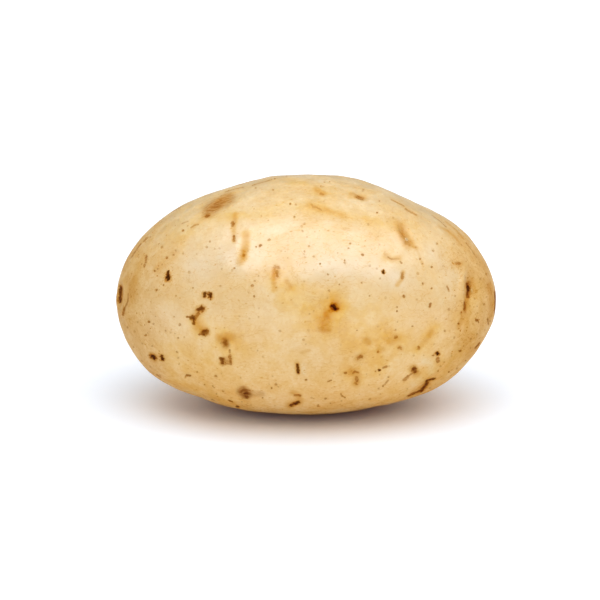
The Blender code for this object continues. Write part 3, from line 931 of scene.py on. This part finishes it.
class Sheet:
    """The nodes of one material or group, with short calls to add and join them."""

    def __init__(self, tree):
        self.tree = tree

    def put(self, socket, value):
        """Feeds a socket from another one, or with a plain value."""
        if isinstance(value, bpy.types.NodeSocket):
            self.tree.links.new(value, socket)
        else:
            socket.default_value = value

    def add(self, kind, inputs, output=0, **settings):
        """Adds a node, makes its settings, feeds its inputs by name or number, and gives one output."""
        node = self.tree.nodes.new(kind)
        for name, value in settings.items():
            setattr(node, name, value)
        for name, value in inputs.items():
            self.put(node.inputs[name], value)
        return node.outputs[output]

    def math(self, operation, first, second=0.0, third=0.0, clamp=False):
        """One step of arithmetic."""
        inputs = {0: first, 1: second, 2: third}
        return self.add("ShaderNodeMath", inputs, operation=operation, use_clamp=clamp)

    def vector(self, operation, first, second):
        """One step of arithmetic with vectors."""
        return self.add("ShaderNodeVectorMath", {0: first, 1: second}, operation=operation)

    def scaled(self, vector, times):
        """A vector times a number."""
        return self.add("ShaderNodeVectorMath", {0: vector, "Scale": times}, operation="SCALE")

    def length(self, vector):
        """A vector's length."""
        return self.add("ShaderNodeVectorMath", {0: vector}, "Value", operation="LENGTH")

    def in_turn(self, operation, values):
        """The values joined from left to right by one operation."""
        result = values[0]
        for value in values[1:]:
            result = self.math(operation, result, value)
        return result

    def total(self, *values):
        """The sum of values."""
        return self.in_turn("ADD", values)

    def times(self, *values):
        """The product of values."""
        return self.in_turn("MULTIPLY", values)

    def weighted(self, shares, **values):
        """The sum of named values, each times its share."""
        return self.total(*[self.times(value, shares[name]) for name, value in values.items()])

    def ramp(self, value, low, high, to_low=0.0, to_high=1.0):
        """A smooth step: to_low at low and to_high at high."""
        inputs = {"Value": value, 1: low, 2: high, 3: to_low, 4: to_high}
        return self.add("ShaderNodeMapRange", inputs, interpolation_type="SMOOTHSTEP")

    def between(self, mask, least, most):
        """A value that goes smoothly from least to most with a mask."""
        return self.ramp(mask, 0.0, 1.0, least, most)

    def mix(self, share, first, second, blend="MIX"):
        """The first colour with a share of the second, or blended with it."""
        inputs = {"Factor": share, 6: first, 7: second}
        node = self.tree.nodes.new("ShaderNodeMix")
        node.data_type, node.blend_type = "RGBA", blend
        for name, value in inputs.items():
            self.put(node.inputs[name], value)
        return node.outputs[2]

    def field(self, name, output="Fac"):
        """A field of the mesh."""
        return self.add("ShaderNodeAttribute", {}, output, attribute_name=name)

    def noise(self, position, scale, detail, output=0):
        """Cloudy noise about one half."""
        inputs = {"Vector": position, "Scale": scale, "Detail": detail}
        return self.add("ShaderNodeTexNoise", inputs, output)

    def group(self, tree, output="Mask", **inputs):
        """Places a node group and feeds its inputs by name."""
        node = self.tree.nodes.new("ShaderNodeGroup")
        node.node_tree = tree
        for name, value in inputs.items():
            self.put(node.inputs[name.capitalize()], value)
        return node.outputs[output]


def new_group(name, vector, numbers, masks=("Mask",)):
    """An empty node group that takes one vector, then numbers, and puts out masks, and its two end nodes."""
    tree = bpy.data.node_groups.new(name, "ShaderNodeTree")
    tree.interface.new_socket(vector, in_out="INPUT", socket_type="NodeSocketVector")
    for label in numbers:
        tree.interface.new_socket(label, in_out="INPUT", socket_type="NodeSocketFloat")
    for label in masks:
        tree.interface.new_socket(label, in_out="OUTPUT", socket_type="NodeSocketFloat")
    return Sheet(tree), tree.nodes.new("NodeGroupInput").outputs, tree.nodes.new("NodeGroupOutput").inputs


def mottle_group():
    """Soft blotches of a real size: noise in metres, cut to 0 to 1 between two levels."""
    nodes, given, result = new_group("mottle", "Position", ["Size", "Low", "High"])
    noise = nodes.noise(given["Position"], nodes.math("DIVIDE", 1.0, given["Size"]), detail=3.0)
    nodes.put(result["Mask"], nodes.ramp(noise, given["Low"], given["High"]))
    return nodes.tree


def thread_group():
    """Fine threads: the lines where noise in metres crosses its middle value by less than Thickness."""
    nodes, given, result = new_group("threads", "Position", ["Size", "Thickness"])
    noise = nodes.noise(given["Position"], nodes.math("DIVIDE", 1.0, given["Size"]), detail=2.0)
    away = nodes.math("ABSOLUTE", nodes.math("SUBTRACT", noise, 0.5))
    nodes.put(result["Mask"], nodes.ramp(away, given["Thickness"], 0.0))
    return nodes.tree


def speck_group():
    """Ragged specks: the points of a three-dimensional scatter that lie close to the skin.

    Spacing is the scatter's cell and Reach a speck's radius, both in metres. Each cell's own random number
    makes its speck smaller, and those under Rarity vanish.
    """
    nodes, given, result = new_group("specks", "Position", ["Spacing", "Reach", "Rarity"])
    edge = nodes.noise(given["Position"], SPECK_EDGE_SCALE, detail=1.0, output="Color")
    shift = nodes.scaled(nodes.vector("SUBTRACT", edge, (0.5, 0.5, 0.5)), SPECK_SHIFT)
    cells = nodes.tree.nodes.new("ShaderNodeTexVoronoi")
    nodes.put(cells.inputs["Vector"], nodes.vector("ADD", given["Position"], shift))
    nodes.put(cells.inputs["Scale"], nodes.math("DIVIDE", 1.0, given["Spacing"]))
    lot = nodes.add("ShaderNodeSeparateColor", {"Color": cells.outputs["Color"]})
    reach = nodes.math("DIVIDE", given["Reach"], given["Spacing"])
    reach = nodes.times(reach, nodes.ramp(lot, given["Rarity"], 1.0))
    past = nodes.math("SUBTRACT", cells.outputs["Distance"], reach)
    nodes.put(result["Mask"], nodes.ramp(past, 0.0, SPECK_EDGE))
    return nodes.tree


def scab_group():
    """The halo, crust and core of a scab, as masks over its distance in half widths, which Ragged shifts."""
    numbers = ["Least", "Strength", "Ragged"]
    nodes, given, result = new_group("scab", "Offset", numbers, ["Halo", "Crust", "Core"])
    away = nodes.math("MAXIMUM", nodes.length(given["Offset"]), given["Least"])
    away = nodes.math("ADD", away, given["Ragged"])
    strength = given["Strength"]
    crust = nodes.math("MINIMUM", nodes.math("MULTIPLY_ADD", strength, *CRUST_BY_STRENGTH), 1.0)
    core = nodes.ramp(strength, *CORE_BY_STRENGTH)
    nodes.put(result["Halo"], nodes.times(nodes.ramp(away, *HALO_STEP), nodes.times(strength, strength)))
    nodes.put(result["Crust"], nodes.times(nodes.ramp(away, *CRUST_STEP), crust))
    nodes.put(result["Core"], nodes.times(nodes.ramp(away, *CORE_STEP), core))
    return nodes.tree


def scab_masks(nodes, ragged):
    """The greatest halo, crust and core of all layers of scabs."""
    tree = scab_group()
    greatest = {"Halo": 0.0, "Crust": 0.0, "Core": 0.0}
    for number in range(SCAB_LAYERS):
        name = f"scab_{number}"
        inputs = {"offset": nodes.field(name, "Vector"), "least": nodes.field(name + "_least")}
        inputs |= {"strength": nodes.field(name + "_strength"), "ragged": ragged}
        for mask in greatest:
            greatest[mask] = nodes.math("MAXIMUM", greatest[mask], nodes.group(tree, mask, **inputs))
    return greatest


def stretched(nodes, position, share):
    """The position with its X cut to a share, which draws a pattern out along the tuber."""
    return nodes.vector("MULTIPLY", position, (share, 1.0, 1.0))


def pigmented(nodes, colour, amounts):
    """The colour seen through pigments. An amount of 1 turns cream into the pigment's colour."""
    exponent = (0.0, 0.0, 0.0)
    for pigment, amount in amounts.items():
        strength = np.log(np.array(tint(*pigment)[:3]) / tint(*CREAM)[:3])
        exponent = nodes.vector("ADD", exponent, nodes.scaled(strength, amount))
    channels = nodes.add("ShaderNodeSeparateXYZ", {0: exponent}).node.outputs
    kept = {number: nodes.math("EXPONENT", channel) for number, channel in enumerate(channels)}
    return nodes.mix(1.0, colour, nodes.add("ShaderNodeCombineColor", kept), "MULTIPLY")


def skin_colour(nodes, position, mottle, scab, grain):
    """The skin's colour, and how far the marks cover its wax.

    Cream and pale skin, which in two wide patches is a painted highlight, are seen through clouds of tan,
    golden patches, rusty stains and threads, and brown bruises, freckles and scabs, whose cores are dark. A
    few of the bruises and stains are painted shade. Fine patterns break the edges of the marks.
    """
    threads, specks = thread_group(), speck_group()
    deep, pale = nodes.field("deep"), nodes.field("pale")
    blotch = nodes.group(mottle, position=position, **BLOTCH)
    cloud = nodes.group(mottle, position=position, **CLOUD)
    fibre = nodes.group(mottle, position=stretched(nodes, position, FIBRE_STRETCH), **FIBRE)
    along = nodes.group(threads, position=stretched(nodes, position, THREAD_STRETCH), **LONG_THREADS)
    net = nodes.group(threads, position=position, **NET_THREADS)
    freckles = nodes.group(specks, position=position, **FRECKLES)
    flecks = nodes.group(specks, position=stretched(nodes, position, FLECK_STRETCH), **FLECKS)
    worn = nodes.ramp(deep, *WORN_BY_TAN)
    bare = nodes.ramp(pale, *BARE_BY_PALE)

    deep = nodes.times(deep, nodes.between(cloud, *DEEP_BY_CLOUD))
    tan = nodes.weighted(TAN_SHARES, blotch=blotch, cloud=cloud, grain=grain, deep=deep)
    tan = nodes.times(tan, nodes.math("MULTIPLY_ADD", pale, PALE_LESS_TAN, 1.0, clamp=True))
    golden = nodes.times(nodes.field("gold"), nodes.between(cloud, *GOLD_BY_CLOUD))
    along = nodes.times(along, nodes.ramp(worn, *THREADS_BY_WEAR))
    lines = nodes.math("MAXIMUM", along, nodes.times(net, NET_SHARE))
    stain = nodes.times(nodes.field("stain"), nodes.between(fibre, *STAIN_BY_FIBRE), bare)
    rust = nodes.total(stain, nodes.times(lines, nodes.between(blotch, *LINES_BY_BLOTCH)),
                       nodes.times(scab["Halo"], HALO_SHARE), nodes.times(flecks, worn, FLECK_SHARE))
    bruise = nodes.times(nodes.field("bruise"), nodes.between(fibre, *BRUISE_BY_FIBRE), bare)
    crust = nodes.times(scab["Crust"], nodes.between(fibre, *CRUST_BY_FIBRE))
    brown = nodes.total(bruise, crust, nodes.times(freckles, worn, FRECKLE_SHARE))
    dark = nodes.times(scab["Core"], DARK_SHARE)
    covered = nodes.math("MINIMUM", nodes.weighted(COVER_SHARES, golden=golden, rust=rust, brown=brown), 1.0)
    brown = nodes.math("MULTIPLY_ADD", deep, DEEP_BROWN_SHARE, brown)
    # Pale skin's share; in two wide patches it is a painted highlight
    paleness = nodes.math("MULTIPLY", pale, PALE_SHARE, clamp=True)
    colour = nodes.mix(paleness, tint(*CREAM), tint(*PALE_SKIN_AND_HIGHLIGHT))
    return pigmented(nodes, colour, {TAN: tan, GOLDEN: golden, RUST: rust, BROWN: brown, DARK: dark}), covered


def new_material(name):
    """A material, its nodes, and the inputs of its shader."""
    material = bpy.data.materials.new(name)
    material.use_nodes = True
    return material, Sheet(material.node_tree), material.node_tree.nodes["Principled BSDF"].inputs


def skin_material():
    """Waxy potato skin. Marks and grain break its patchy wax, and scabs are dents in its fine bumps."""
    material, nodes, skin_inputs = new_material("potato_skin")
    position = nodes.add("ShaderNodeTexCoord", {}, "Object")
    mottle = mottle_group()
    grain = nodes.math("SUBTRACT", nodes.noise(position, GRAIN_SCALE, detail=2.0), 0.5)
    scab = scab_masks(nodes, nodes.times(grain, RAGGED))
    colour, covered = skin_colour(nodes, position, mottle, scab, grain)
    nodes.put(skin_inputs["Base Color"], colour)

    wax = nodes.group(mottle, position=position, **WAX)
    rough = nodes.math("MULTIPLY_ADD", covered, MARKS_ROUGHNESS, nodes.between(wax, *ROUGHNESS))
    nodes.put(skin_inputs["Roughness"], rough)
    above = nodes.add("ShaderNodeSeparateXYZ", {0: position}, "Z")
    waxed = nodes.times(nodes.math("SUBTRACT", 1.0, covered), nodes.ramp(nodes.field("deep"), *WAX_BY_TAN),
                        nodes.ramp(above, *WAX_BY_HEIGHT))
    patchy = nodes.math("MULTIPLY_ADD", grain, WAX_GRAIN, nodes.between(wax, *COAT_BY_WAX))
    nodes.put(skin_inputs["Coat Weight"], nodes.math("MULTIPLY", waxed, patchy, clamp=True))

    wrinkle = nodes.group(mottle, position=position, **WRINKLE)
    height = nodes.weighted(BUMPS, wrinkle=wrinkle, wax=wax, covered=covered, crust=scab["Crust"])
    bump = nodes.add("ShaderNodeBump", {"Height": height, "Distance": 1.0, "Strength": 1.0})
    nodes.put(skin_inputs["Normal"], bump)
    for name, value in SKIN_SETTINGS.items():
        nodes.put(skin_inputs[name], value)
    return material


def link(thing):
    """Puts an object into the scene."""
    bpy.context.scene.collection.objects.link(thing)
    return thing


def make_potato():
    """The tuber's skin. Gives back the photograph's view of it."""
    directions, squares = unit_ball(BALL_STEPS)
    centred, outward = skin(directions)
    points = set_down(centred)
    surface = BVHTree.FromPolygons(points.tolist(), squares.tolist())
    view = photograph_view(points)
    strokes = photographed_strokes(view, surface) + hidden_strokes(points, outward, view)
    strokes += brow_strokes((points - centred).mean(axis=0))
    fields = mark_fields(points, strokes, view)
    points = points + outward * mark_relief(fields)[:, None]
    points = points.clip(frame_box[0], frame_box[1])
    potato = link(bpy.data.objects.new("potato_skin", make_mesh("potato_skin", points, squares, fields)))
    potato.data.materials.append(skin_material())
    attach(potato, "root")
    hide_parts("potato")
    return view


def floor_material():
    """White, with a painted brown contact shadow where the tuber rests. To the camera alone, a painted cooler
    shade lies on the shadow's rim, and a painted glow makes the floor beyond it whiter still."""
    paint, nodes, paint_inputs = new_material("white_floor")
    position = nodes.add("ShaderNodeTexCoord", {}, "Object")
    away = nodes.length(nodes.vector("MULTIPLY", position, (1 / OVAL_LENGTH, 1.0, 0.0)))
    seen = nodes.add("ShaderNodeLightPath", {}, "Is Camera Ray")
    # Painted shadow: a cooler, darker rim round the shadow, for the camera alone
    rim = nodes.times(nodes.ramp(away, *SHADOW_RIM_START), nodes.ramp(away, *SHADOW_RIM_END), seen)
    # Painted light: a glow for the camera alone that grows with the distance from the tuber
    glow = nodes.times(nodes.total(nodes.ramp(away, *NEAR_GLOW), nodes.ramp(away, *FAR_GLOW)), seen)
    base = nodes.mix(rim, FLOOR_WHITE, FLOOR_SHADOW_RIM)
    # Painted shadow: brown where the tuber rests
    base = nodes.mix(nodes.ramp(away, *CONTACT_SHADOW_STEP), base, FLOOR_CONTACT_SHADOW)
    nodes.put(paint_inputs["Base Color"], base)
    nodes.put(paint_inputs["Roughness"], 0.9)
    nodes.put(paint_inputs["Emission Color"], FLOOR_GLOW)
    nodes.put(paint_inputs["Emission Strength"], glow)
    return paint


def make_floor():
    """A wide white disc at the height that the tuber rests on."""
    angles = np.linspace(0, 2 * np.pi, FLOOR_SIDES, endpoint=False)
    rim = FLOOR_RADIUS * np.column_stack([np.cos(angles), np.sin(angles), np.zeros(FLOOR_SIDES)])
    mesh = bpy.data.meshes.new("floor")
    mesh.from_pydata(rim.tolist(), [], [list(range(FLOOR_SIDES))])
    floor = link(bpy.data.objects.new("floor", mesh))
    mesh.materials.append(floor_material())


def make_softbox(name, azimuth, elevation, roll, distance, size, power, colour):
    """A rectangular light that faces the tuber from a direction, in degrees: azimuth to the right of the
    camera. A roll turns it about its own axis, which lifts its right side."""
    lamp = bpy.data.lights.new(name, "AREA")
    lamp.shape = "RECTANGLE"
    lamp.size, lamp.size_y = size
    lamp.energy = power
    lamp.color = colour
    turned, raised = math.radians(azimuth), math.radians(elevation)
    sideways, forward = math.sin(turned) * math.cos(raised), math.cos(turned) * math.cos(raised)
    outward = Vector((sideways, -forward, math.sin(raised)))
    light = link(bpy.data.objects.new(name, lamp))
    light.location = Vector((0, 0, HALF_HEIGHT)) + outward * distance
    turn = Quaternion((0, 0, 1), math.radians(roll))
    light.rotation_euler = ((-outward).to_track_quat("-Z", "Y") @ turn).to_euler()


def make_room(level, overhead, shown, mirrored):
    """A white room. It lights the tuber with a strength that rises from level to overhead, and is seen and
    mirrored with others."""
    world = bpy.data.worlds.new("white_room")
    world.use_nodes = True
    nodes = Sheet(world.node_tree)
    path = nodes.add("ShaderNodeLightPath", {}).node.outputs
    raised = nodes.add("ShaderNodeSeparateXYZ", {0: nodes.add("ShaderNodeTexCoord", {}, "Generated")}, "Z")
    around = nodes.between(raised, level, overhead)
    around = nodes.add("ShaderNodeMix", {0: path["Is Glossy Ray"], 2: around, 3: mirrored})
    strength = nodes.add("ShaderNodeMix", {0: path["Is Camera Ray"], 2: around, 3: shown})
    background = world.node_tree.nodes["Background"]
    background.inputs["Color"].default_value = (1.0, 1.0, 1.0, 1.0)
    nodes.put(background.inputs["Strength"], strength)
    bpy.context.scene.world = world


def make_camera(view):
    """The photograph's camera."""
    camera = link(bpy.data.objects.new("camera", bpy.data.cameras.new("camera")))
    camera.location = view.eye()
    camera.rotation_euler = Vector(-view.back).to_track_quat("-Z", "Y").to_euler()
    camera.data.lens = camera.data.sensor_width * CAMERA_DISTANCE / (PHOTO_SIZE * view.pixel)
    camera.data.clip_start = 0.01
    bpy.context.scene.camera = camera


def main():
    """Makes the potato, the floor, the light, the room and the camera."""
    make_camera(make_potato())
    make_floor()
    make_softbox("key", azimuth=15, elevation=69, roll=-20, distance=0.7, size=(1.1, 0.72), power=4.85,
                 colour=(0.98, 0.99, 1.045))
    make_room(level=0.2475, overhead=0.675, shown=1.0, mirrored=0.15)
    bpy.context.scene.view_settings.view_transform = "Standard"


main()
